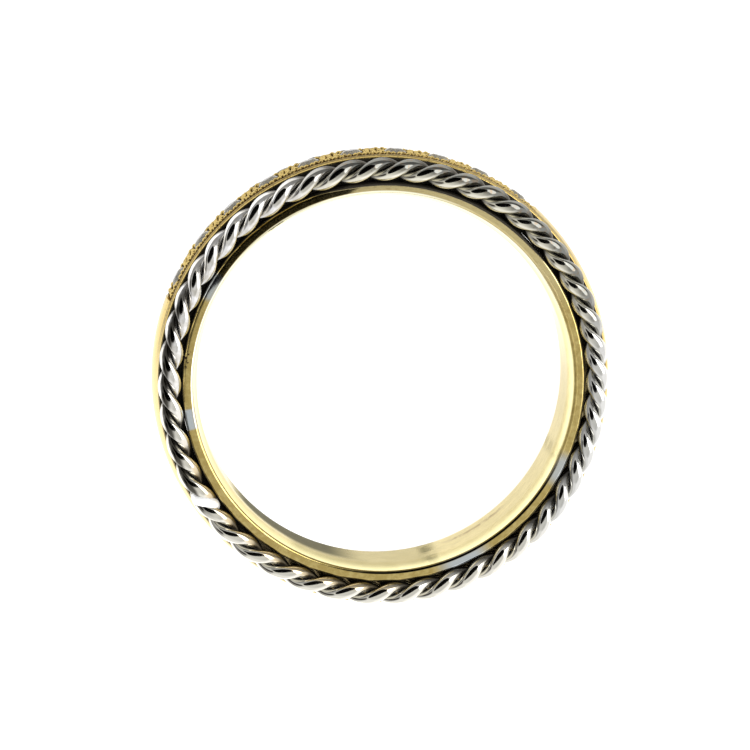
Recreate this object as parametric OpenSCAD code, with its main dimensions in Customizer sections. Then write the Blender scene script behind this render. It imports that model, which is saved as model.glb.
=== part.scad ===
// Two-tone rope twist ring. The ring's axis is Z and the ring lies on its side, on the bulges of
// the lower rope, which touch Z = 0. The origin is on the axis, at that height.
// All lengths are in millimetres and all angles in degrees, counted from +X towards +Y.

/* [Sleeve] */
// Diameter of the finger hole along its straight middle stretch
bore_d = 17.3; // [14:0.1:23]
// Width of the ring along the finger, from rope to rope
ring_w = 5.5; // [4.8:0.1:8]
// How far the sleeve's end faces stay behind the ropes
sleeve_setback = 0.4; // [0:0.05:0.6]
// Thickness of the sleeve's wall in the middle of the ring
sleeve_wall = 0.73; // [0.5:0.01:1.5]
// How far the rounded mouth of the finger hole opens at each end
mouth_flare = 0.24; // [0.05:0.01:0.35]
// Length of the rounded mouth at each end, along the finger
mouth_len = 1.2; // [0.5:0.1:1.8]
// Chamfer round the outside of each end face
edge_chamfer = 0.09; // [0.02:0.01:0.12]

/* [Rope] */
// Diameter across the twisted rope
rope_d = 1.1; // [0.7:0.05:1.3]
// Bulges that the rope shows round the ring, one for each half turn of its two wires
rope_bulges = 45; // [31:2:61]
// How far the rope's bulges are pressed flat on the ring's side
rope_press = 0.06; // [0:0.01:0.09]
// Place round the ring where the rope's ends are joined
rope_joint_at = 213; // [0:1:359]
// Turn of the wires about the rope at the joint
rope_phase = 340; // [0:5:355]
// How far the hand-laid bulges stray from even spacing once round the ring, in degrees
rope_wander = 3.5; // [0:0.5:4]
// How far they stray in a second, shorter wave, in degrees
rope_waver = 1.2; // [0:0.1:1.5]

/* [Centre band] */
// Height of the band's edges above the sleeve
band_rise = 1.1; // [0.7:0.02:1.6]
// Height of the band's crown above its edges
band_crown = 0.24; // [0.1:0.01:0.4]
// Width of each smooth rail beside the set arc
rail_w = 0.36; // [0.15:0.01:0.4]
// Depth of the set arc's floor below the band's edges
set_depth = 0.03; // [0:0.01:0.1]

/* [Stones] */
// Number of stones
stone_count = 10; // [1:1:14]
// Diameter of each stone
stone_d = 1.05; // [0.8:0.05:1.3]
// Angle round the ring from one stone to the next
stone_step = 11.15; // [10:0.05:16]
// Place round the ring of the middle of the row of stones
stone_row_at = 103; // [60:1:120]
// How far the stones' tables stand below the crown of the plain band
table_drop = 0; // [0:0.01:0.1]

/* [Grains] */
// Diameter of each grain
grain_d = 0.28; // [0.2:0.01:0.36]
// Gap between neighbouring grains
grain_gap = 0.02; // [0.01:0.01:0.1]
// Rows of grains across the band, fewer where its floor is too narrow for them
grain_rows = 7; // [1:2:7]

/* [Fits] */
// Gap between pieces that are soldered or pressed together
seat_gap = 0.02; // [0.01:0.005:0.04]
// Gap between the two wires of a rope
wire_gap = 0.02; // [0.01:0.005:0.04]
// Gap round each stone in its seat
stone_gap = 0.015; // [0.01:0.005:0.04]

/* [Hidden] */
// Roundness of the sleeve and the band, and of the small round shapes
$fn = 160;
small_fn = 24;
// How far a cut runs past the metal that it takes away
cut_past = 1;

// Sleeve
bore_r = bore_d / 2;
sleeve_r = bore_r + sleeve_wall;
sleeve_w = ring_w - 2 * sleeve_setback;
mid_z = ring_w / 2;
// The mouth is an arc that leaves the straight bore without a corner
mouth_arc_r = (mouth_len * mouth_len + mouth_flare * mouth_flare) / (2 * mouth_flare);

// Rope: the wires turn round a circle at this radius and these heights
rope_r = sleeve_r + seat_gap + rope_d / 2;
rope_h = rope_d - rope_press;
rope_inset = rope_d / 2 - rope_press;
rope_front_z = ring_w - rope_inset;
rope_back_z = rope_inset;
// The pressing starts this far above the middle of the rope
press_from = rope_d / 4;
wire_d = (rope_d - wire_gap) / 2;
helix_r = (wire_d + wire_gap) / 2;
wire_sides = 6;
rings_per_turn = 12;
rope_turns = rope_bulges / 2;
wire_steps = ceil(rope_turns * rings_per_turn);
// Where the shorter wave of the lay starts
waver_from = 232;
// The joint leaves a gap between the wires' ends
joint_gap_angle = 180 * wire_gap / (PI * rope_r);

// Centre band
band_bore_r = sleeve_r + seat_gap;
band_edge_r = sleeve_r + band_rise;
band_top_r = band_edge_r + band_crown;
band_w = ring_w - 2 * (rope_h + seat_gap);
crown_arc_r = (band_w * band_w / 4 + band_crown * band_crown) / (2 * band_crown);
floor_r = band_edge_r - set_depth;
floor_w = band_w - 2 * rail_w;

// Stones: heights are shares of the stone's diameter, as on a round brilliant
table_share = 0.56;
crown_share = 0.15;
star_share = 0.76;
girdle_share = 0.03;
pavilion_share = 0.43;
lower_share = 0.22;
stone_r = stone_d / 2;
crown_h = crown_share * stone_d;
girdle_h = girdle_share * stone_d;
pavilion_h = pavilion_share * stone_d;
table_r = band_top_r - table_drop;
girdle_top_r = table_r - crown_h;
stone_names = [for (i = [1 : stone_count]) str("stone_", i < 10 ? "0" : "", i)];

// Set arc: half a step past the first and the last stone
set_arc = stone_count * stone_step;
set_from = stone_row_at - set_arc / 2;

// Grains stand in rows between the stones, each sunk into the floor by a share of its radius
grain_r = grain_d / 2;
grain_pitch = grain_d + grain_gap;
rows = min(grain_rows, 1 + 2 * floor((floor_w - grain_d) / 2 / grain_pitch));
grain_sink = 0.35;
grain_centre_r = floor_r + grain_r * (1 - grain_sink);

function stone_angle(i) = stone_row_at + (i - (stone_count - 1) / 2) * stone_step;

// Sleeve with a straight bore, rounded mouths and chamfered outer edges
module liner() {
    color("goldenrod")
        translate([0, 0, sleeve_setback])
            difference() {
                cylinder(r = sleeve_r, h = sleeve_w);
                translate([0, 0, -cut_past]) cylinder(r = bore_r, h = sleeve_w + 2 * cut_past);
                mouth_cut();
                translate([0, 0, sleeve_w]) mirror([0, 0, 1]) mouth_cut();
                edge_cut();
                translate([0, 0, sleeve_w]) mirror([0, 0, 1]) edge_cut();
            }
}

// What the rounded mouth takes away at the lower end
module mouth_cut() {
    rotate_extrude()
        difference() {
            translate([bore_r - mouth_flare, 0]) square([2 * mouth_flare, mouth_len]);
            translate([bore_r + mouth_arc_r, mouth_len]) circle(r = mouth_arc_r);
        }
}

// What the chamfer takes away round the lower end face
module edge_cut() {
    rotate_extrude()
        polygon([
            [sleeve_r - edge_chamfer, 0],
            [sleeve_r + edge_chamfer, 0],
            [sleeve_r + edge_chamfer, 2 * edge_chamfer],
            [sleeve_r, edge_chamfer]
        ]);
}

// Crowned band with the set arc cut down between its rails, the grains, and the seats
module centre_band() {
    color("gold")
        difference() {
            union() {
                difference() {
                    plain_band();
                    set_arc_cut();
                }
                grains();
            }
            for (i = [0 : stone_count - 1]) seat_cut(stone_angle(i));
        }
}

module plain_band() {
    rotate_extrude()
        intersection() {
            translate([band_bore_r, mid_z - band_w / 2])
                square([band_top_r - band_bore_r, band_w]);
            translate([band_top_r - crown_arc_r, mid_z]) circle(r = crown_arc_r);
        }
}

module set_arc_cut() {
    rotate([0, 0, set_from])
        rotate_extrude(angle = set_arc)
            translate([floor_r, mid_z - floor_w / 2]) square([band_top_r - floor_r + cut_past, floor_w]);
}

// Each row of a clump is spread evenly over the room between the stones' seats beside it, or at
// either end of the set arc over the room between a seat and the wall there
module grains() {
    clear = stone_r + stone_gap + grain_r + grain_gap;
    step_len = stone_step * PI / 180 * grain_centre_r;
    for (gap = [0 : stone_count], row = [0 : rows - 1]) {
        z = (row - (rows - 1) / 2) * grain_pitch;
        chord = abs(z) < clear ? sqrt(clear * clear - z * z) : 0;
        at_end = gap == 0 || gap == stone_count;
        from = max(chord - grain_pitch / 2, 0);
        to = at_end ? (step_len - grain_gap) / 2 : step_len - from;
        count = max(floor((to - from) / grain_pitch), 0);
        side = gap == 0 ? -1 : 1;
        beside = stone_angle(max(gap - 1, 0));
        for (k = [0 : 1 : count - 1]) {
            along = from + (to - from) * (k + 0.5) / count;
            rotate([0, 0, beside + side * along / grain_centre_r * 180 / PI])
                translate([grain_centre_r, 0, mid_z + z])
                    rotate([0, 90, 0]) sphere(r = grain_r, $fn = small_fn);
        }
    }
}

// Seat of one stone: a straight wall past the girdle, then a cone under the pavilion
module seat_cut(angle) {
    deep_r = girdle_top_r - girdle_h - pavilion_h - 2 * stone_gap;
    rotate([0, 0, angle])
        translate([0, 0, mid_z])
            rotate([0, 90, 0]) {
                translate([0, 0, girdle_top_r - girdle_h - stone_gap])
                    cylinder(r = stone_r + stone_gap, h = crown_h + cut_past, $fn = 2 * small_fn);
                translate([0, 0, deep_r])
                    cylinder(
                        r1 = stone_gap,
                        r2 = stone_r + stone_gap,
                        h = girdle_top_r - girdle_h - stone_gap - deep_r,
                        $fn = 2 * small_fn
                    );
            }
}

// How far the bulges are shifted at a share of the way round, and how fast that changes
function lay_shift(share) =
    rope_wander * sin(360 * share) + rope_waver * sin(720 * share + waver_from);
function lay_rate(share) =
    (rope_wander * cos(360 * share) + 2 * rope_waver * cos(720 * share + waver_from)) * PI / 180;

// Points of one wire: rings of wire_sides points along a helix that is bent round the ring.
// The rings are square to the wire, and the first point of each looks away from the rope's middle.
// out_z is 1 where the ring's side is above the rope, and -1 where it is below.
function pressed(height) =
    let (share = (height - press_from) / (rope_d / 2 - press_from))
    height - (share > 0 ? rope_press * pow(share, 3) : 0);

function wire_points(z_mid, out_z, start_turn) = [
    for (step = [0 : wire_steps])
        let (
            share = step / wire_steps,
            at = rope_joint_at + joint_gap_angle / 2 + share * (360 - joint_gap_angle),
            turn = start_turn + rope_turns * (360 * share - lay_shift(share)),
            out = [cos(at), sin(at), 0],
            along = [-sin(at), cos(at), 0],
            up = [0, 0, 1],
            // Turns of the wire for each turn round the ring
            rate = rope_turns * (1 - lay_rate(share)),
            normal = cos(turn) * out + sin(turn) * up,
            centre = rope_r * out + helix_r * normal,
            run = (rope_r + helix_r * cos(turn)) * along
                + helix_r * rate * (cos(turn) * up - sin(turn) * out),
            side = cross(run / norm(run), normal)
        )
        for (k = [0 : wire_sides - 1])
            let (
                a = 360 * k / wire_sides,
                point = centre + wire_d / 2 * (cos(a) * normal + sin(a) * side)
            )
            [point.x, point.y, z_mid + out_z * pressed(out_z * point.z)]
];

wire_faces = concat(
    [[for (k = [0 : wire_sides - 1]) k]],
    [
        for (step = [0 : wire_steps - 1], k = [0 : wire_sides - 1])
            let (
                a = step * wire_sides + k,
                b = step * wire_sides + (k + 1) % wire_sides
            )
            each [[a, b + wire_sides, b], [a, a + wire_sides, b + wire_sides]]
    ],
    [[for (k = [0 : wire_sides - 1]) wire_steps * wire_sides + wire_sides - 1 - k]]
);

module rope_wire(z_mid, out_z, start_turn) {
    color("lightgray")
        polyhedron(points = wire_points(z_mid, out_z, start_turn), faces = wire_faces);
}

module rope_front_a() {
    rope_wire(rope_front_z, 1, rope_phase);
}

module rope_front_b() {
    rope_wire(rope_front_z, 1, rope_phase + 180);
}

module rope_back_a() {
    rope_wire(rope_back_z, -1, rope_phase);
}

module rope_back_b() {
    rope_wire(rope_back_z, -1, rope_phase + 180);
}

// One stone: an eight-sided table, star, bezel and upper girdle facets above a thin girdle,
// and lower girdle facets and pavilion mains that run to a point below it
facets = 8;
facet_step = 360 / facets;
function ring_of(count, r, turn, z) = [
    for (k = [0 : count - 1]) [r * cos(turn + k * 360 / count), r * sin(turn + k * 360 / count), z]
];
// Height on the flat bezel and on the flat pavilion main below the point at that radius
function bezel_z(r) =
    crown_h - (r * cos(facet_step / 2) - table_share * stone_r) / (stone_r * (1 - table_share)) * crown_h;
function main_z(r) = -girdle_h - pavilion_h * (1 - r * cos(facet_step / 2) / stone_r);

stone_points = concat(
    ring_of(facets, table_share * stone_r, 0, crown_h),
    ring_of(facets, star_share * stone_r, facet_step / 2, bezel_z(star_share * stone_r)),
    ring_of(2 * facets, stone_r, 0, 0),
    ring_of(2 * facets, stone_r, 0, -girdle_h),
    ring_of(facets, lower_share * stone_r, facet_step / 2, main_z(lower_share * stone_r)),
    [[0, 0, -girdle_h - pavilion_h]]
);

// Where each ring of points starts in the list
star_0 = facets;
girdle_0 = star_0 + facets;
under_0 = girdle_0 + 2 * facets;
lower_0 = under_0 + 2 * facets;
culet_0 = lower_0 + facets;

stone_faces = concat(
    [[for (k = [0 : facets - 1]) facets - 1 - k]],
    [
        for (k = [0 : facets - 1])
            let (
                next = (k + 1) % facets,
                star = star_0 + k,
                star_next = star_0 + next,
                g = girdle_0 + 2 * k,
                g_mid = g + 1,
                g_next = girdle_0 + 2 * next,
                u = g + 2 * facets,
                u_mid = g_mid + 2 * facets,
                u_next = g_next + 2 * facets,
                low = lower_0 + k,
                low_next = lower_0 + next
            )
            each [
                [k, next, star],
                [star, next, g_next],
                [next, star_next, g_next],
                [star, g_mid, g],
                [star, g_next, g_mid],
                [g, g_mid, u_mid],
                [g, u_mid, u],
                [g_mid, g_next, u_next],
                [g_mid, u_next, u_mid],
                [low, u, u_mid],
                [low, u_mid, u_next],
                [low, u_next, culet_0],
                [u_next, low_next, culet_0]
            ]
    ]
);

module stone(i) {
    color("rosybrown")
        rotate([0, 0, stone_angle(i)])
            translate([girdle_top_r, 0, mid_z])
                rotate([0, 90, 0])
                    polyhedron(points = stone_points, faces = stone_faces);
}

liner();
centre_band();
rope_front_a();
rope_front_b();
rope_back_a();
rope_back_b();
for (i = [0 : stone_count - 1])
    stone(i);
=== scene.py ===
import math

import bpy
from mathutils import Matrix, Vector


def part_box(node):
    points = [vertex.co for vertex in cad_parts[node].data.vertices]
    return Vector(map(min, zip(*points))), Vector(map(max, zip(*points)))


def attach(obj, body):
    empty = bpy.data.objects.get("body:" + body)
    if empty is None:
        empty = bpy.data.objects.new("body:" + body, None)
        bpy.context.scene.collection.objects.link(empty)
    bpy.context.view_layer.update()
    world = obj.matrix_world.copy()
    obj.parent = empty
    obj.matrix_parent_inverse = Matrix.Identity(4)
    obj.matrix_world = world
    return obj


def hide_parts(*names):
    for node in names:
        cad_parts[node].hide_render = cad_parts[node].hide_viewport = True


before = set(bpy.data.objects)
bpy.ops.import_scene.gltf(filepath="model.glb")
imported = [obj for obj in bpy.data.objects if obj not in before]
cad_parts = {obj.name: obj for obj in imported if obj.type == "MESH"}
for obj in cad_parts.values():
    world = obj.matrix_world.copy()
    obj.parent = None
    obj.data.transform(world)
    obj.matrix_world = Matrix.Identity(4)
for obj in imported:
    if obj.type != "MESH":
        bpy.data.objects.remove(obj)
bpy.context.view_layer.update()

# Sizes of the ring, in metres. The ring's axis is Z and it lies on its side, on the floor at Z = 0.
MM = 0.001
SLEEVE_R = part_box("liner")[1].x
SLEEVE_LOW_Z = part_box("liner")[0].z
SLEEVE_HIGH_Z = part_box("liner")[1].z
MID_Z = (SLEEVE_LOW_Z + SLEEVE_HIGH_Z) / 2
RING_W = 2 * MID_Z
BORE_R = 8.65 * MM
MOUTH_FLARE = 0.24 * MM
MOUTH_LEN = 1.2 * MM
MOUTH_R = BORE_R + MOUTH_FLARE
EDGE_CHAMFER = 0.09 * MM
INNER_WEAR = 0.10 * MM
OUTER_WEAR = 0.035 * MM
FACE_EASE = 0.115 * MM
FACE_CROWN = 0.0004 * MM
# The filed flat: its middle and half width round the ring, and its slope, in degrees
FLAT_AT = 124
FLAT_HALF = 27
FLAT_SLOPE = 2.2

ROPE_D = 1.1 * MM
ROPE_R = SLEEVE_R + 0.02 * MM + ROPE_D / 2
ROPE_PRESS = 0.06 * MM
ROPE_PRESS_SLOPE = 0.34
ROPE_PRESS_EASE = 0.04 * MM
ROPE_INSET = ROPE_D / 2 - ROPE_PRESS
WIRE_GAP = 0.02 * MM
WIRE_SPREAD = 1.13
WIRE_SIDES = 36
RINGS_PER_TURN = 36
ROPE_BULGES = 45
ROPE_JOINT_AT = 213
ROPE_PHASE = 340
SOLDER_AT = 213.2
SOLDER_TURN = 32
SOLDER_HALF_MM = (0.40, 0.72, 0.49)
ROPE_WANDER = 3.5
ROPE_WAVER = 1.2
WAVER_FROM = 232

BAND_BORE_R = SLEEVE_R + 0.02 * MM
BAND_EDGE_R = SLEEVE_R + 1.1 * MM
BAND_CROWN = 0.24 * MM
BAND_TOP_R = BAND_EDGE_R + BAND_CROWN
BAND_LOW_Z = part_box("centre_band")[0].z
BAND_W = 2 * (MID_Z - BAND_LOW_Z)
RAIL_W = 0.36 * MM
FLOOR_W = BAND_W - 2 * RAIL_W
FLOOR_R = BAND_EDGE_R - 0.03 * MM
BAND_EDGE_WEAR = 0.04 * MM
RAIL_ROLL = 0.07 * MM
CHANNEL_TAPER = 0.03 * MM
CHANNEL_DEPTH = 0.05 * MM

STONE_COUNT = 10
STONE_R = 0.525 * MM
STONE_STEP = 11.15
STONE_ROW_AT = 103
SET_ARC = STONE_COUNT * STONE_STEP
SET_FROM = STONE_ROW_AT - SET_ARC / 2
STONES = [f"stone_{number:02d}" for number in range(1, STONE_COUNT + 1)]
GIRDLE_R = BAND_TOP_R - 0.3 * STONE_R
STONE_GAP = 0.015 * MM
SEAT_DEPTH = 0.5 * MM
SEAT_TIP_R = 0.02 * MM

GRAIN_R = 0.14 * MM
GRAIN_PITCH = 0.30 * MM
GRAIN_GAP = 0.02 * MM
GRAIN_ROWS = 7
GRAIN_CENTRE_R = FLOOR_R + 0.45 * GRAIN_R
GRAIN_STRAY = 0.05 * MM
GRAIN_UNEVEN = 0.16

# What the photograph fixes about the camera. Pixels are counted in its 750 by 750 frame.
IMAGE_SIDE_PX = 750
FACE_CENTRE_PX = (384.53, 383.21)
PX_PER_MM_AT_FACE = 21.575
CAMERA_DISTANCE = 211 * MM
CAMERA_TILT = math.radians(10)
CAMERA_TOWARDS = math.radians(118.5)
SENSOR_MM = 36

# The lens looks in through a round hole in the tent, which the polished metal shows as a dark spot
LENS_TOWARDS = 123
LENS_TILT = 16.5
UNLIT = (0.003, 0.003, 0.003)
# Parts of the tent, later ones over earlier ones: the lower side, the bright side, the dark side, two lamps,
# the lens hole and a dark disc farther out. Each has a middle, as an angle round the ring and a tilt from its
# axis, the angles off that middle at which it starts and at which it is full, and a radiance.
TENT_PARTS = (
    {"at": 262, "tilt": 62, "outer": 50, "inner": 28, "radiance": (1.12, 1.12, 1.14)},
    {"at": 325, "tilt": 72, "outer": 56, "inner": 40, "radiance": (1.38, 1.38, 1.42)},
    {"at": 185, "tilt": 52, "outer": 20, "inner": 10, "radiance": (0.06, 0.055, 0.05)},
    {"at": 345, "tilt": 34, "outer": 14, "inner": 9, "radiance": (1.4, 1.4, 1.4)},
    {"at": 15, "tilt": 36, "outer": 24.5, "inner": 20, "radiance": (4.2, 4.2, 4.3)},
    {"at": LENS_TOWARDS, "tilt": LENS_TILT, "outer": 23.4, "inner": 23, "radiance": UNLIT},
    {"at": 120, "tilt": 33, "outer": 20.5, "inner": 19, "radiance": UNLIT},
)
# Behind these parts the tent fades from near the lens to far from it, between two angles off the lens hole
TENT_NEAR = (0.84, 0.84, 0.83)
TENT_FAR = (0.42, 0.42, 0.43)
TENT_FADE = (28, 50)
SOFTBOX_AT = 265
SOFTBOX_TILT = 48
SOFTBOX_AWAY = 0.5
SOFTBOX_SIDE = 0.12
SOFTBOX_WATTS = 5.0


def stone_angle(number):
    return STONE_ROW_AT + (number - (STONE_COUNT - 1) / 2) * STONE_STEP


# Modelling helpers

def take(name):
    """Names the piece that was just added, puts its place into its mesh and opens it for editing."""
    piece = bpy.context.object
    piece.name = name
    piece.data.name = name
    bpy.ops.object.transform_apply(location=True, rotation=True, scale=True)
    bpy.ops.object.mode_set(mode="EDIT")
    return piece


def pick(piece, fits):
    """Selects the points whose place fits, with the edges and faces between them."""
    bpy.ops.mesh.select_mode(type="VERT")
    bpy.ops.mesh.select_all(action="DESELECT")
    bpy.ops.object.mode_set(mode="OBJECT")
    for point in piece.data.vertices:
        point.select = bool(fits(point.co))
    bpy.ops.object.mode_set(mode="EDIT")


def pick_faces(piece, fits):
    """Selects the faces whose middle and normal fit."""
    bpy.ops.mesh.select_mode(type="FACE")
    bpy.ops.mesh.select_all(action="DESELECT")
    bpy.ops.object.mode_set(mode="OBJECT")
    for face in piece.data.polygons:
        face.select = bool(fits(face.center, face.normal))
    bpy.ops.object.mode_set(mode="EDIT")


def close_up(piece, smooth_below=35):
    """Merges doubles, turns the faces outwards, leaves edit mode and shades smooth below an angle."""
    bpy.ops.mesh.select_mode(type="VERT")
    bpy.ops.mesh.select_all(action="SELECT")
    bpy.ops.mesh.remove_doubles(threshold=0.0002 * MM)
    bpy.ops.mesh.normals_make_consistent(inside=False)
    bpy.ops.object.mode_set(mode="OBJECT")
    bpy.ops.object.shade_smooth_by_angle(angle=math.radians(smooth_below))
    return piece


def trace(name, outline):
    """A point extruded along an outline in the XZ plane, given as radius and height."""
    bpy.ops.object.select_all(action="DESELECT")
    radius, height = outline[0]
    bpy.ops.mesh.primitive_plane_add(size=MM, location=(radius, 0, height))
    piece = take(name)
    bpy.ops.mesh.merge(type="CENTER")
    for (r0, z0), (r1, z1) in zip(outline, outline[1:]):
        bpy.ops.mesh.extrude_region_move(TRANSFORM_OT_translate={"value": (r1 - r0, 0, z1 - z0)})
    return piece


def turn_round(degrees, steps):
    """Spins what is selected about the ring's axis and leaves the far end selected."""
    bpy.ops.mesh.spin(steps=steps, angle=math.radians(degrees), center=(0, 0, 0), axis=(0, 0, 1))


def radius_of(place):
    return math.hypot(place.x, place.y)


def degrees_of(place):
    return math.degrees(math.atan2(place.y, place.x)) % 360


def way_to(degrees, tilt):
    """A direction at an angle round the ring, tilted by some degrees from the ring's axis."""
    across = math.sin(math.radians(tilt))
    at = math.radians(degrees)
    return Vector((across * math.cos(at), across * math.sin(at), math.cos(math.radians(tilt))))


def arc(centre, radius, start, end, steps):
    """Points of an arc in the outline's plane, from one angle to another in degrees."""
    turns = [math.radians(start + (end - start) * step / steps) for step in range(steps + 1)]
    return [(centre[0] + radius * math.cos(t), centre[1] + radius * math.sin(t)) for t in turns]


# Sleeve

def make_sleeve():
    """Traced from one mouth along the bore to the other, then over the end faces and the outside."""
    low_z = SLEEVE_LOW_Z
    high_z = SLEEVE_HIGH_Z
    mouth_arc_r = (MOUTH_LEN ** 2 + MOUTH_FLARE ** 2) / (2 * MOUTH_FLARE)
    reach = math.degrees(math.asin(MOUTH_LEN / mouth_arc_r))
    outer_r = SLEEVE_R - EDGE_CHAMFER
    face_mid_r = (MOUTH_R + outer_r) / 2
    low = arc((BORE_R + mouth_arc_r, low_z + MOUTH_LEN), mouth_arc_r, 180 + reach, 180, 10)
    high = [(r, low_z + high_z - z) for r, z in reversed(low)]
    # The end faces are polished very slightly round
    face = [(MOUTH_R + FACE_EASE, 0), (face_mid_r, FACE_CROWN), (outer_r - FACE_EASE, 0), (outer_r, 0)]
    outside = [(r, high_z + rise) for r, rise in face]
    outside += [(SLEEVE_R, high_z - EDGE_CHAMFER), (SLEEVE_R, low_z + EDGE_CHAMFER)]
    outside += [(r, low_z - rise) for r, rise in reversed(face)]
    sleeve = trace("sleeve", low + high + outside + [low[0]])
    bpy.ops.mesh.select_all(action="SELECT")
    turn_round(360, 360)
    bpy.ops.mesh.select_all(action="SELECT")
    bpy.ops.mesh.remove_doubles(threshold=0.0002 * MM)
    # The rims of both end faces are worn round
    for z in (low_z, high_z):
        for rim_r, wear_w in ((MOUTH_R, INNER_WEAR), (outer_r, OUTER_WEAR)):
            pick(sleeve, lambda p: abs(p.z - z) < 0.0002 * MM and abs(radius_of(p) - rim_r) < 0.001 * MM)
            bpy.ops.mesh.bevel(offset=wear_w, segments=6, affect="EDGES")
    # A flat was once filed on the upper face, on one side
    bpy.ops.object.mode_set(mode="OBJECT")
    towards_flat = way_to(FLAT_AT, 90)
    starts = (SLEEVE_R - EDGE_CHAMFER) * math.cos(math.radians(FLAT_HALF))
    for point in sleeve.data.vertices:
        past = point.co.dot(towards_flat) - starts
        if point.co.z > high_z - 0.02 * MM and past > 0:
            point.co.z -= past * math.tan(math.radians(FLAT_SLOPE))
    bpy.ops.object.mode_set(mode="EDIT")
    return close_up(sleeve, 60)


# Centre band

def make_centre_band():
    crown_arc_r = (BAND_W ** 2 / 4 + BAND_CROWN ** 2) / (2 * BAND_CROWN)
    centre_r = BAND_TOP_R - crown_arc_r
    edge = math.degrees(math.asin(BAND_W / 2 / crown_arc_r))
    rail = math.degrees(math.asin(FLOOR_W / 2 / crown_arc_r))
    rail_low = arc((centre_r, MID_Z), crown_arc_r, -edge, -rail, 3)
    crown = arc((centre_r, MID_Z), crown_arc_r, -rail, rail, 14)[1:-1]
    rail_high = arc((centre_r, MID_Z), crown_arc_r, rail, edge, 3)
    outline = [(BAND_BORE_R, BAND_LOW_Z)] + rail_low + crown + rail_high
    outline += [(BAND_BORE_R, RING_W - BAND_LOW_Z), (BAND_BORE_R, BAND_LOW_Z)]
    band = trace("band", outline)
    bpy.ops.mesh.select_all(action="SELECT")
    start = math.radians(SET_FROM)
    bpy.ops.transform.rotate(value=-start, orient_axis="Z", center_override=(0, 0, 0))
    turn_round(SET_ARC, 224)
    turn_round(360 - SET_ARC, 496)
    bpy.ops.mesh.select_all(action="SELECT")
    bpy.ops.mesh.remove_doubles(threshold=0.0005 * MM)
    bpy.ops.mesh.normals_make_consistent(inside=False)
    # Edges of the band are worn round
    for z in (BAND_LOW_Z, RING_W - BAND_LOW_Z):
        pick(band, lambda p: abs(p.z - z) < 0.001 * MM and radius_of(p) > BAND_EDGE_R - 0.01 * MM)
        bpy.ops.mesh.bevel(offset=BAND_EDGE_WEAR, segments=3, affect="EDGES")
    # The set arc is sunk between its rails, and its floor is brought to one radius
    half = FLOOR_W / 2

    def in_set_arc(place, normal):
        return (radius_of(place) > BAND_EDGE_R and abs(place.z - MID_Z) < half
                and 0 < (degrees_of(place) - SET_FROM) < SET_ARC)

    pick_faces(band, in_set_arc)
    bpy.ops.mesh.inset(thickness=CHANNEL_TAPER, depth=-CHANNEL_DEPTH)
    bpy.ops.object.mode_set(mode="OBJECT")
    for point in band.data.vertices:
        if point.select:
            factor = FLOOR_R / radius_of(point.co)
            point.co.x *= factor
            point.co.y *= factor
    # The rails are rolled over where they meet the channel
    bpy.ops.object.mode_set(mode="EDIT")
    pick(band, lambda p: abs(abs(p.z - MID_Z) - half) < 0.004 * MM and radius_of(p) > BAND_EDGE_R
         and 0 < (degrees_of(p) - SET_FROM) < SET_ARC)
    bpy.ops.mesh.bevel(offset=RAIL_ROLL, segments=3, affect="EDGES")
    close_up(band)
    cut_seats(band)
    grains = make_grains()
    bpy.ops.object.select_all(action="DESELECT")
    grains.select_set(True)
    band.select_set(True)
    bpy.context.view_layer.objects.active = band
    bpy.ops.object.join()
    return band


def cut_seats(band):
    """Cuts a cone and a straight wall under each stone."""
    bpy.ops.object.select_all(action="DESELECT")
    bpy.ops.mesh.primitive_cone_add(
        vertices=48, radius1=SEAT_TIP_R, radius2=STONE_R + STONE_GAP, depth=SEAT_DEPTH,
        location=(GIRDLE_R - SEAT_DEPTH / 2, 0, 0), rotation=(0, math.pi / 2, 0))
    cutter = take("seat_cutter")
    pick_faces(cutter, lambda place, normal: normal.x > 0.9)
    bpy.ops.mesh.extrude_region_move(TRANSFORM_OT_translate={"value": (SEAT_DEPTH, 0, 0)})
    bpy.ops.mesh.select_all(action="SELECT")
    bpy.ops.transform.translate(value=(0, 0, MID_Z))
    bpy.ops.transform.rotate(
        value=-math.radians(stone_angle(0)), orient_axis="Z", center_override=(0, 0, 0))
    for _ in range(STONE_COUNT - 1):
        bpy.ops.mesh.duplicate()
        bpy.ops.transform.rotate(
            value=-math.radians(STONE_STEP), orient_axis="Z", center_override=(0, 0, 0))
    close_up(cutter)
    bpy.ops.object.select_all(action="DESELECT")
    band.select_set(True)
    bpy.context.view_layer.objects.active = band
    seats = band.modifiers.new("seats", "BOOLEAN")
    seats.operation = "DIFFERENCE"
    seats.solver = "EXACT"
    seats.object = cutter
    bpy.ops.object.modifier_apply(modifier="seats")
    bpy.data.objects.remove(cutter)


def clump_places(at_end):
    """Where the grains of one clump stand, as a way along the band from a stone, and a height."""
    clear = STONE_R + STONE_GAP + GRAIN_R + GRAIN_GAP
    step_len = math.radians(STONE_STEP) * GRAIN_CENTRE_R
    places = []
    for row in range(GRAIN_ROWS):
        z = (row - (GRAIN_ROWS - 1) / 2) * GRAIN_PITCH
        chord = math.sqrt(clear ** 2 - z ** 2) if abs(z) < clear else 0
        start = max(chord - GRAIN_PITCH / 2, 0)
        end = (step_len - GRAIN_GAP) / 2 if at_end else step_len - start
        count = int((end - start) / GRAIN_PITCH + 1e-6)
        places += [(start + (end - start) * (k + 0.5) / count, z) for k in range(count)]
    return places


def stray(number):
    """An uneven amount between -1 and 1, the same each time for one number."""
    return 2 * (math.sin(number * 78.233) * 4375.8 % 1) - 1


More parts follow.
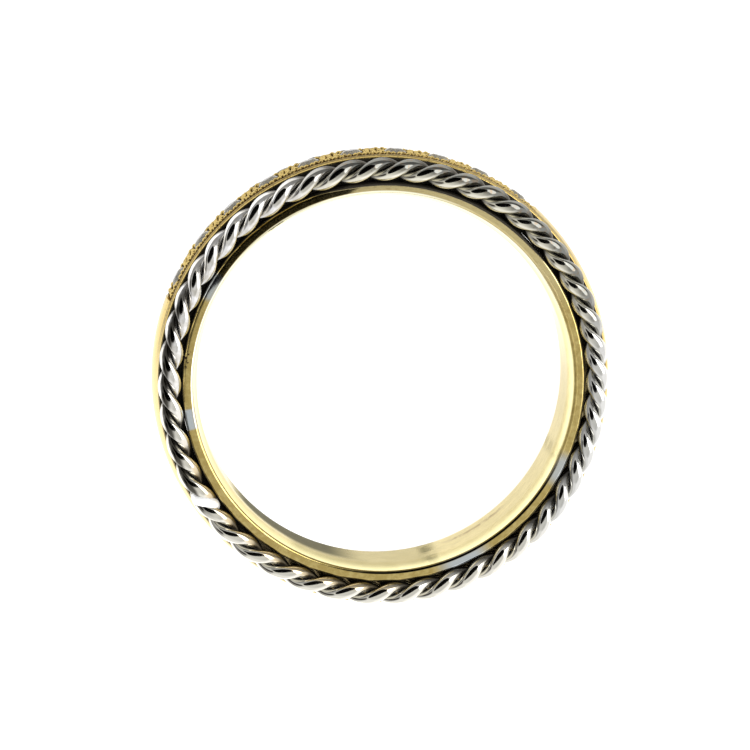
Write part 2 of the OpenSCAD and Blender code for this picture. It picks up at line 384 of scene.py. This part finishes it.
def make_clump(places, beside, side):
    """One clump of grains next to the stone at an angle, on one side of it."""
    bpy.ops.object.select_all(action="DESELECT")
    for number, (along, z) in enumerate(places):
        at = math.radians(beside) + side * (along + GRAIN_STRAY * stray(number)) / GRAIN_CENTRE_R
        z += GRAIN_STRAY * stray(number + 0.37)
        grain_r = GRAIN_R * (1 + GRAIN_UNEVEN * stray(number + 0.71))
        place = (GRAIN_CENTRE_R * math.cos(at), GRAIN_CENTRE_R * math.sin(at), MID_Z + z)
        bpy.ops.mesh.primitive_uv_sphere_add(segments=14, ring_count=9, radius=grain_r, location=place)
        if number == 0:
            clump = take("grains")
    bpy.ops.object.mode_set(mode="OBJECT")
    return clump


def make_grains():
    """A clump between each two stones and one at each end of the row."""
    clumps = [
        make_clump(clump_places(True), stone_angle(0), -1),
        make_clump(clump_places(True), stone_angle(STONE_COUNT - 1), 1),
        make_clump(clump_places(False), stone_angle(0), 1),
    ]
    for _ in range(STONE_COUNT - 2):
        bpy.ops.object.select_all(action="DESELECT")
        clumps[-1].select_set(True)
        bpy.context.view_layer.objects.active = clumps[-1]
        bpy.ops.object.duplicate()
        clumps.append(bpy.context.object)
        bpy.ops.object.mode_set(mode="EDIT")
        bpy.ops.mesh.select_all(action="SELECT")
        bpy.ops.transform.rotate(
            value=-math.radians(STONE_STEP), orient_axis="Z", center_override=(0, 0, 0))
        bpy.ops.object.mode_set(mode="OBJECT")
    bpy.ops.object.select_all(action="DESELECT")
    for clump in clumps:
        clump.select_set(True)
    bpy.context.view_layer.objects.active = clumps[0]
    bpy.ops.object.join()
    bpy.ops.object.mode_set(mode="EDIT")
    return close_up(clumps[0], 80)


# Rope

def lay_shift(share):
    """How far the bulges stray from even spacing at a share of the way round, in degrees."""
    once = ROPE_WANDER * math.sin(math.radians(360 * share))
    twice = ROPE_WAVER * math.sin(math.radians(720 * share + WAVER_FROM))
    return once + twice


def lay_rate(share):
    once = ROPE_WANDER * math.cos(math.radians(360 * share))
    twice = 2 * ROPE_WAVER * math.cos(math.radians(720 * share + WAVER_FROM))
    return math.radians(once + twice)


def pressed_in(height, starts, ease, slope):
    """How far a point at a height is worn down: evenly flatter above where the wear starts."""
    past = max(height - starts, 0)
    if past < ease:
        return (1 - slope) * past ** 2 / (2 * ease)
    return (1 - slope) * (past - ease / 2)


def make_wire(name, z_mid, out_z, start_turn):
    """One wire of a rope. It is laid ring by ring, because its turns are uneven and bent round the ring."""
    turns = ROPE_BULGES / 2
    steps = int(turns * RINGS_PER_TURN)
    wire_r = (ROPE_D - WIRE_GAP) / 4
    helix_r = wire_r + WIRE_GAP / 2
    end_gap = math.degrees(WIRE_GAP / ROPE_R)
    press_from = ROPE_D / 2 - ROPE_PRESS / (1 - ROPE_PRESS_SLOPE) - ROPE_PRESS_EASE / 2
    up = Vector((0, 0, 1))
    points = []
    for step in range(steps + 1):
        share = step / steps
        at = math.radians(ROPE_JOINT_AT + end_gap / 2 + share * (360 - end_gap))
        turn = math.radians(start_turn + turns * (360 * share - lay_shift(share)))
        out = Vector((math.cos(at), math.sin(at), 0))
        along = Vector((-math.sin(at), math.cos(at), 0))
        rate = turns * (1 - lay_rate(share))
        normal = math.cos(turn) * out + math.sin(turn) * up
        run = (ROPE_R + helix_r * math.cos(turn)) * along
        run += helix_r * rate * (math.cos(turn) * up - math.sin(turn) * out)
        side = run.normalized().cross(normal)
        for k in range(WIRE_SIDES):
            a = math.tau * k / WIRE_SIDES
            point = ROPE_R * out + (helix_r + wire_r * math.cos(a)) * normal
            point += WIRE_SPREAD * wire_r * math.sin(a) * side
            height = out_z * point.z
            worn = pressed_in(height, press_from, ROPE_PRESS_EASE, ROPE_PRESS_SLOPE)
            point.z = z_mid + out_z * (height - worn)
            points.append(point)
    faces = [tuple(range(WIRE_SIDES)), tuple(range(steps * WIRE_SIDES, (steps + 1) * WIRE_SIDES))]
    for low in range(0, steps * WIRE_SIDES, WIRE_SIDES):
        for k in range(WIRE_SIDES):
            after = (k + 1) % WIRE_SIDES
            faces.append((low + k, low + after, low + after + WIRE_SIDES, low + k + WIRE_SIDES))
    mesh = bpy.data.meshes.new(name)
    mesh.from_pydata(points, [], faces)
    wire = bpy.data.objects.new(name, mesh)
    bpy.context.scene.collection.objects.link(wire)
    bpy.ops.object.select_all(action="DESELECT")
    wire.select_set(True)
    bpy.context.view_layer.objects.active = wire
    bpy.ops.object.mode_set(mode="EDIT")
    return close_up(wire, 60)


def make_solder():
    """A smooth filled patch over the wires' joint on the upper rope, drawn out along the strand."""
    bpy.ops.object.select_all(action="DESELECT")
    bpy.ops.mesh.primitive_uv_sphere_add(segments=32, ring_count=20, radius=MM)
    solder = take("joint_solder")
    bpy.ops.mesh.select_all(action="SELECT")
    bpy.ops.transform.resize(value=SOLDER_HALF_MM, center_override=(0, 0, 0))
    bpy.ops.transform.rotate(
        value=-math.radians(SOLDER_TURN), orient_axis="Z", center_override=(0, 0, 0))
    bpy.ops.transform.translate(value=(ROPE_R, 0, RING_W - ROPE_INSET))
    bpy.ops.transform.rotate(
        value=-math.radians(SOLDER_AT), orient_axis="Z", center_override=(0, 0, 0))
    return close_up(solder, 80)


# Finishes

# Colour of dirt and painted shade in corners and between parts
DIRT_AND_SHADE = (0.010, 0.008, 0.006)


class Link:
    """One output of a shader node, with the operators that the finishes are written in."""

    def __init__(self, tree, socket=None):
        self.tree = tree
        self.socket = socket

    def node(self, kind, settings=None, values=None, out=0):
        """Adds a node of any kind: its settings are set first, then its sockets' values and links."""
        made = self.tree.nodes.new(kind)
        for name, value in (settings or {}).items():
            setattr(made, name, value)
        for name, value in (values or {}).items():
            if isinstance(value, Link):
                self.tree.links.new(value.socket, made.inputs[name])
            else:
                made.inputs[name].default_value = value
        return Link(self.tree, made.outputs[out])

    def math(self, operation, *terms):
        return self.node("ShaderNodeMath", {"operation": operation}, dict(enumerate(terms)))

    def __add__(self, other):
        return self.math("ADD", self, other)

    __radd__ = __add__

    def __sub__(self, other):
        return self.math("SUBTRACT", self, other)

    def __rsub__(self, other):
        return self.math("SUBTRACT", other, self)

    def __mul__(self, other):
        return self.math("MULTIPLY", self, other)

    __rmul__ = __mul__

    def __abs__(self):
        return self.math("ABSOLUTE", self)

    def between(self, low, high):
        """0 below low, 1 above high, and smooth between them. High may be the smaller one."""
        settings = {"interpolation_type": "SMOOTHSTEP"}
        values = {"Value": self, "From Min": low, "From Max": high}
        return self.node("ShaderNodeMapRange", settings, values)

    def mix(self, first, second):
        """A colour from first to second as this goes from 0 to 1."""
        made = self.node("ShaderNodeMix", {"data_type": "RGBA"}, {0: self}, 2)
        mixer = made.socket.node
        for index, value in ((6, first), (7, second)):
            if isinstance(value, Link):
                self.tree.links.new(value.socket, mixer.inputs[index])
            else:
                mixer.inputs[index].default_value = (*value, 1)
        return made

    def mix_shaders(self, first, second):
        """A shader from first to second as this goes from 0 to 1."""
        return self.node("ShaderNodeMixShader", None, {0: self, 1: first, 2: second})


class Finish:
    """A new material with its places on the ring: millimetres, and the radius and angle round the axis."""

    def __init__(self, name):
        self.material = bpy.data.materials.new(name)
        self.material.use_nodes = True
        tree = self.material.node_tree
        self.shader = tree.nodes["Principled BSDF"]
        self.blank = Link(tree)
        place = self.blank.node("ShaderNodeTexCoord", out="Object")
        self.place = self.blank.node(
            "ShaderNodeVectorMath", {"operation": "SCALE"}, {0: place, "Scale": 1 / MM})
        self.x = self.blank.node("ShaderNodeSeparateXYZ", None, {0: self.place}, "X")
        self.y = self.blank.node("ShaderNodeSeparateXYZ", None, {0: self.place}, "Y")
        self.z = self.blank.node("ShaderNodeSeparateXYZ", None, {0: self.place}, "Z")
        self.radius = self.blank.math("SQRT", self.x * self.x + self.y * self.y)
        self.angle = self.blank.math("ARCTAN2", self.y, self.x) * (180 / math.pi)

    def noise(self, scale, detail=2, place=None):
        values = {"Vector": place or self.place, "Scale": scale, "Detail": detail}
        return self.blank.node("ShaderNodeTexNoise", None, values, "Fac")

    def near_angle(self, degrees, half, soft):
        """1 within half of an angle round the ring, fading over soft degrees."""
        away = abs(self.blank.math("WRAP", self.angle - degrees, 180, -180))
        return away.between(half + soft, half)

    def ring_place(self, round_scale, across_scale):
        """A place for streaks that run round the ring."""
        return self.blank.node("ShaderNodeCombineXYZ", None, {
            "X": self.angle * round_scale,
            "Y": self.radius * across_scale,
            "Z": self.z * across_scale,
        })

    def set(self, **values):
        for name, value in values.items():
            socket = self.shader.inputs[name.replace("_", " ")]
            if isinstance(value, Link):
                self.blank.tree.links.new(value.socket, socket)
            else:
                socket.default_value = value
        return self.material

    def matt(self, colour):
        """A shader of one colour without gloss."""
        return self.blank.node("ShaderNodeBsdfDiffuse", None, {"Color": (*colour, 1)})

    def lay_over(self, share, shader):
        """Lays another shader over a share of the surface."""
        tree = self.blank.tree
        both = share.mix_shaders(Link(tree, self.shader.outputs[0]), shader)
        tree.links.new(both.socket, tree.nodes["Material Output"].inputs["Surface"])

    def bump(self, height, strength, distance):
        values = {"Height": height, "Strength": strength, "Distance": distance}
        return self.blank.node("ShaderNodeBump", None, values)


def sleeve_gold():
    """Yellow gold: a bore painted pale near its mouths and dark in places as painted reflection, tan end
    faces with painted light and blushes, and corners dark with dirt and painted shade.
    """
    f = Finish("sleeve_gold")
    mouth_r = MOUTH_R / MM
    outer_r = SLEEVE_R / MM
    high_z = SLEEVE_HIGH_Z / MM
    half_w = (SLEEVE_HIGH_Z - MID_Z) / MM
    streaks = f.noise(1.0, 3, f.ring_place(0.5, 30))
    mottle = f.noise(4.0, 4)
    cloud = f.noise(0.9, 3)
    from_mid = abs(f.z - MID_Z / MM)
    face = from_mid.between(half_w - 0.08, half_w - 0.05)
    in_bore = 1 - face
    # The bore is streaked, and painted paler towards its mouths and paler still there at the top and on the
    # left, as painted reflection
    bore = cloud.between(0.2, 0.8).mix((0.60, 0.52, 0.28), (0.74, 0.65, 0.38))
    bore = (0.6 * streaks.between(0.45, 0.7)).mix(bore, (0.46, 0.36, 0.15))
    near_mouth = from_mid.between(1.55, 2.05)
    bore = (0.6 * near_mouth).mix(bore, (0.86, 0.80, 0.46))
    pale_reflection = f.near_angle(115, 75, 25) * near_mouth
    bore = pale_reflection.mix(bore, (0.74, 0.71, 0.58))
    # The end faces are tan, painted lighter at the upper right as painted light, with a painted highlight on
    # the inner rim at the upper left
    tan = mottle.between(0.35, 0.7).mix((0.47, 0.36, 0.12), (0.61, 0.49, 0.19))
    tan = f.near_angle(66, 32, 16).mix(tan, (0.64, 0.54, 0.27))
    tan = (0.5 * streaks.between(0.45, 0.75)).mix(tan, (0.44, 0.29, 0.10))
    rim_highlight = f.near_angle(128, 46, 22) * f.radius.between(9.0, 8.96)
    tan = rim_highlight.mix(tan, (0.95, 0.90, 0.66))
    base = face.mix(bore, tan)
    # Blushes of solder and plating on the end faces: angle, half width, soft edge and strength
    outwards = 0.25 + 0.75 * f.radius.between(8.85, 9.1)
    for at, half, soft, strength in (
            (150, 3, 2, 0.8),
            (190, 2.6, 0.8, 0.9),
            (294, 3, 7, 0.9),
            (333, 2, 4.5, 0.8)):
        blush = face * f.near_angle(at, half, soft) * outwards * strength
        base = blush.mix(base, (0.54, 0.60, 0.64))
    # A painted dark reflection on a stretch of the bore, darkest at its deep left end, and two narrow painted
    # dark reflections, laid over as matt colour
    core = f.near_angle(238, 14, 14) * f.z.between(4.3, 3.3)
    stretch = f.near_angle(263, 20, 7) * f.z.between(5.2, 4.5) * (1 - 0.6 * streaks)
    dark_reflection = (core + 0.66 * stretch * (1 - core)) * in_bore
    for at, half, soft in ((285, 0.8, 3.0), (337, 0.6, 3.2)):
        dark_band = f.near_angle(at, half, soft) * in_bore * cloud.between(0.3, 0.55)
        dark_reflection = dark_reflection + 0.42 * dark_band
    olive = f.matt((0.115, 0.118, 0.066))
    darkest = f.matt((0.055, 0.065, 0.062))
    f.lay_over((0.8 * dark_reflection).between(0, 1.1), core.mix_shaders(olive, darkest))
    # A short brown scratch in the bore at the lower right, and pits on the end faces at the left
    off_scratch = abs(f.z - 2.35 + 0.9 * (streaks - 0.5))
    scratch = f.near_angle(302, 6, 7) * off_scratch.between(0.30, 0.05) * mottle.between(0.3, 0.55)
    base = (0.9 * scratch * in_bore).mix(base, (0.20, 0.10, 0.02))
    pits = face * f.near_angle(172.5, 1.6, 1.5) * f.radius.between(9.0, 9.04)
    pits = pits * f.noise(7.0, 2).between(0.56, 0.62)
    base = pits.mix(base, (0.05, 0.03, 0.02))
    # A black line along the inner rim at the lower right, a painted reflection
    rim_reflection = abs(f.radius - mouth_r - 0.07).between(0.065, 0.04) * f.near_angle(296, 28, 16)
    base = (rim_reflection * f.z.between(high_z - 0.12, high_z - 0.08)).mix(base, (0.02, 0.015, 0.01))
    # Dirt and painted shade in the corner under the rope; the painted shade is widest at the upper right
    corner = f.radius + 0.13 * f.near_angle(72, 26, 16) * face + 0.03 * (mottle - 0.5)
    dirt_and_shade = corner.between(outer_r - 0.075, outer_r - 0.03)
    base = dirt_and_shade.mix(base, DIRT_AND_SHADE)
    # On the right the inner rim is worn matt, so that it mirrors no dark line
    worn_rim = abs(f.radius - mouth_r - 0.03).between(0.12, 0.08) * f.near_angle(5, 25, 12)
    worn_rim = worn_rim * f.z.between(high_z - 0.2, high_z - 0.12)
    rough = 0.06 + 0.05 * streaks + 0.04 * mottle + 0.25 * dark_reflection + 0.4 * dirt_and_shade + 0.45 * worn_rim
    normal = f.bump(streaks, 0.04, 0.01 * MM)
    f.shader.inputs["Specular Tint"].default_value = (1.0, 0.94, 0.74, 1)
    return f.set(Base_Color=base, Metallic=1.0 - 0.7 * dirt_and_shade, Roughness=rough, Normal=normal)


def band_gold():
    """Yellow gold, painted dark with shade between the grains and on the rails, with dark specks in the
    channel, and painted pale, as painted light, on the plain side.
    """
    f = Finish("band_gold")
    floor_r = FLOOR_R / MM
    edge_r = BAND_EDGE_R / MM
    half_band = BAND_W / 2 / MM
    half_floor = FLOOR_W / 2 / MM
    half_arc = SET_ARC / 2
    cloud = f.noise(2.2, 3)
    grit = f.noise(9.0, 3)
    streaks = f.noise(1.0, 3, f.ring_place(0.4, 18))
    from_mid = abs(f.z - MID_Z / MM)
    base = cloud.between(0.25, 0.75).mix((0.43, 0.31, 0.105), (0.50, 0.375, 0.13))
    # Painted shade between the grains
    recess_shade = (f.radius + 0.04 * (grit - 0.5)).between(floor_r + 0.16, floor_r + 0.06)
    recess_shade = recess_shade * from_mid.between(half_floor + 0.06, half_floor)
    recess_shade = recess_shade * f.near_angle(STONE_ROW_AT, half_arc + 0.3, 0.1)
    base = (0.85 * recess_shade).mix(base, (0.17, 0.085, 0.022))
    specks = f.near_angle(STONE_ROW_AT, half_arc + 2, 3) * grit.between(0.56, 0.68)
    base = (0.8 * specks).mix(base, (0.10, 0.06, 0.02))
    # The rails are painted dark with the channel wall's shade, but for their outer edge
    rail_shade = from_mid.between(half_band - 0.05, half_band - 0.12) * (0.4 + 0.6 * grit.between(0.3, 0.5))
    rail_shade = rail_shade * f.near_angle(STONE_ROW_AT, half_arc + 12, 8)
    rail_shade = rail_shade * from_mid.between(half_floor - 0.15, half_floor)
    base = (0.9 * rail_shade).mix(base, (0.07, 0.035, 0.010))
    # The plain side is painted pale, as painted light
    base = f.near_angle(262, 78, 26).mix(base, (0.58, 0.48, 0.27))
    # Dirt and painted shade on the band's sides, but not at the bottom, where the ropes mirror clean gold
    dirt_and_shade = from_mid.between(half_band - 0.01, half_band - 0.002)
    dirt_and_shade = dirt_and_shade * f.radius.between(edge_r - 0.035, edge_r - 0.06) * f.near_angle(118, 105, 25)
    base = dirt_and_shade.mix(base, DIRT_AND_SHADE)
    rough = 0.10 + 0.14 * streaks + 0.3 * recess_shade + 0.4 * dirt_and_shade
    normal = f.bump(streaks, 0.08, 0.02 * MM)
    f.shader.inputs["Specular Tint"].default_value = (1.0, 0.92, 0.68, 1)
    return f.set(Base_Color=base, Metallic=1.0 - 0.7 * dirt_and_shade, Roughness=rough, Normal=normal)


def rope_silver(name, z_mid, out_z):
    """Silver of one rope, worked out from the place round the rope's middle: out from the axis, and up."""
    f = Finish(name)
    out = f.radius - ROPE_R / MM
    up = (f.z - z_mid / MM) * out_z
    from_middle = f.blank.math("SQRT", out * out + up * up)
    cloud = f.noise(3.0, 3)
    uneven = cloud - 0.5
    grit = f.noise(24.0, 3)
    rubbed_and_lit = f.near_angle(262, 60, 34)
    dark_side = f.near_angle(62, 36, 24)
    outward = out.between(0.0, 0.30) * rubbed_and_lit
    inward = out.between(0.0, -0.24) * rubbed_and_lit
    # Evenly warm at the bottom, as painted light and where the rope is rubbed, and painted greyer on the
    # right as painted shade
    base = cloud.between(0.35, 0.65).mix((0.60, 0.575, 0.52), (0.74, 0.73, 0.71))
    base = rubbed_and_lit.mix(base, (0.72, 0.695, 0.61))
    base = f.near_angle(0, 34, 22).mix(base, (0.60, 0.595, 0.56))
    # The dark side is painted light inwards and dark outwards, as painted light and shade, and brown in
    # places
    shade_outwards = (out + 0.16 * uneven).between(-0.26, 0.22)
    base = dark_side.mix(base, shade_outwards.mix((0.74, 0.71, 0.59), (0.18, 0.18, 0.16)))
    browned = dark_side * f.noise(6.0, 3).between(0.5, 0.68) * out.between(-0.1, 0.1)
    base = (0.5 * browned).mix(base, (0.20, 0.13, 0.065))
    # The strands' inner ends at the lower left are painted warm, a painted reflection of the gold beside them
    warm = f.near_angle(236, 30, 14) * out.between(-0.08, -0.30)
    base = (0.65 * warm).mix(base, (0.60, 0.44, 0.19))
    # On the left each strand has a painted black patch, a painted reflection of the lens hole, with a bright
    # edge outside it
    off_middle = out + 0.12 * uneven
    shaded = f.near_angle(184, 25, 12) * off_middle.between(0.0, 0.18) * off_middle.between(0.46, 0.34)
    base = (0.93 * shaded).mix(base, (0.03, 0.026, 0.018))
    # Patina stays low down, lower still outwards on the rubbed side, and the valleys are black
    height = up - 0.13 * dark_side + 0.6 * outward - 0.3 * inward + 0.10 * uneven
    patina = height.between(0.10, -0.14)
    base = (0.85 * patina).mix(base, (0.04, 0.034, 0.024))
    valley = (from_middle + 0.05 * uneven).between(0.29, 0.15) * (1 - 0.8 * outward)
    base = valley.mix(base, (0.010, 0.009, 0.007))
    rough = 0.055 + 0.03 * grit + 0.25 * patina + 0.3 * valley
    normal = f.bump(grit, 0.03, 0.01 * MM)
    return f.set(Base_Color=base, Metallic=1.0 - 0.4 * valley, Roughness=rough, Normal=normal)


def solder_silver():
    """Frosted white solder."""
    f = Finish("solder_silver")
    cloud = f.noise(5.0, 3)
    base = cloud.mix((0.90, 0.89, 0.86), (0.98, 0.98, 0.98))
    normal = f.bump(cloud, 0.15, 0.03 * MM)
    return f.set(Base_Color=base, Metallic=0.5, Roughness=0.40 + 0.10 * cloud, Normal=normal)


def stone_finish():
    f = Finish("clear_stone")
    cloud = f.noise(2.5, 2)
    base = cloud.between(0.3, 0.7).mix((0.32, 0.26, 0.10), (0.54, 0.46, 0.24))
    f.shader.inputs["Transmission Weight"].default_value = 0.8
    f.shader.inputs["IOR"].default_value = 1.75
    f.shader.inputs["Specular IOR Level"].default_value = 0.4
    return f.set(Base_Color=base, Roughness=0.03 + 0.03 * cloud)


def floor_white():
    f = Finish("floor_white")
    f.shader.inputs["Emission Color"].default_value = (1, 1, 1, 1)
    f.shader.inputs["Emission Strength"].default_value = 1.0
    return f.set(Base_Color=(0.35, 0.35, 0.35, 1), Roughness=0.9)


def wear(piece, material):
    piece.data.materials.clear()
    piece.data.materials.append(material)


# Making of the ring

sleeve = make_sleeve()
wear(sleeve, sleeve_gold())
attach(sleeve, "root")
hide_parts("liner")

band = make_centre_band()
wear(band, band_gold())
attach(band, "root")
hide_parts("centre_band")

for side, z_mid, out_z in (("front", RING_W - ROPE_INSET, 1), ("back", ROPE_INSET, -1)):
    silver = rope_silver(f"rope_silver_{side}", z_mid, out_z)
    for letter, start_turn in (("a", ROPE_PHASE), ("b", ROPE_PHASE + 180)):
        wire = make_wire(f"wire_{side}_{letter}", z_mid, out_z, start_turn)
        wear(wire, silver)
        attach(wire, "root")
        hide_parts(f"rope_{side}_{letter}")

solder = make_solder()
wear(solder, solder_silver())
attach(solder, "root")

clear = stone_finish()
for name in STONES:
    wear(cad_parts[name], clear)


# Floor, light and camera

bpy.ops.object.select_all(action="DESELECT")
bpy.ops.mesh.primitive_plane_add(size=4, location=(0, 0, 0))
floor = take("floor")
bpy.ops.mesh.subdivide(number_cuts=3)
bpy.ops.object.mode_set(mode="OBJECT")
wear(floor, floor_white())

towards_camera = Vector((
    math.sin(CAMERA_TILT) * math.cos(CAMERA_TOWARDS),
    math.sin(CAMERA_TILT) * math.sin(CAMERA_TOWARDS),
    math.cos(CAMERA_TILT),
))


def light_the_world():
    """A pale tent with brighter and darker parts, and the hole that the lens looks in through."""
    world = bpy.data.worlds.new("studio")
    bpy.context.scene.world = world
    world.use_nodes = True
    tree = world.node_tree
    background = tree.nodes["Background"]
    blank = Link(tree)
    way = blank.node("ShaderNodeTexCoord", out="Generated")

    def degrees_from(direction):
        values = {0: way, 1: direction}
        facing = blank.node("ShaderNodeVectorMath", {"operation": "DOT_PRODUCT"}, values, "Value")
        return blank.math("ARCCOSINE", facing) * (180 / math.pi)

    off_lens = degrees_from(way_to(LENS_TOWARDS, LENS_TILT))
    sky = off_lens.between(*TENT_FADE).mix(TENT_NEAR, TENT_FAR)
    for part in TENT_PARTS:
        off_part = degrees_from(way_to(part["at"], part["tilt"]))
        sky = off_part.between(part["outer"], part["inner"]).mix(sky, part["radiance"])
    tree.links.new(sky.socket, background.inputs["Color"])
    background.inputs["Strength"].default_value = 1.0


light_the_world()

towards_softbox = way_to(SOFTBOX_AT, SOFTBOX_TILT)
bpy.ops.object.light_add(type="AREA", location=SOFTBOX_AWAY * towards_softbox, rotation=(0, 0, 0))
softbox = bpy.context.object
softbox.name = "softbox"
softbox.rotation_euler = towards_softbox.to_track_quat("Z", "Y").to_euler()
softbox.data.size = SOFTBOX_SIDE
softbox.data.energy = SOFTBOX_WATTS
softbox.visible_glossy = False

face_centre = Vector((0, 0, SLEEVE_HIGH_Z))
aside_mm = (IMAGE_SIDE_PX / 2 - FACE_CENTRE_PX[0]) / PX_PER_MM_AT_FACE
above_mm = (FACE_CENTRE_PX[1] - IMAGE_SIDE_PX / 2) / PX_PER_MM_AT_FACE
bpy.ops.object.camera_add(location=face_centre + CAMERA_DISTANCE * towards_camera)
camera = bpy.context.object
look = -towards_camera
right = look.cross(Vector((0, 1, 0))).normalized()
upward = right.cross(look).normalized()
target = face_centre + (aside_mm * right + above_mm * upward) * MM
look = (target - camera.location).normalized()
right = look.cross(Vector((0, 1, 0))).normalized()
upward = right.cross(look)
camera.rotation_euler = Matrix((right, upward, -look)).transposed().to_euler()
camera.data.sensor_width = SENSOR_MM
camera.data.lens = PX_PER_MM_AT_FACE * CAMERA_DISTANCE / MM * SENSOR_MM / IMAGE_SIDE_PX
camera.data.clip_start = 0.01
camera.data.clip_end = 10
bpy.context.scene.camera = camera

bpy.context.scene.view_settings.view_transform = "Standard"
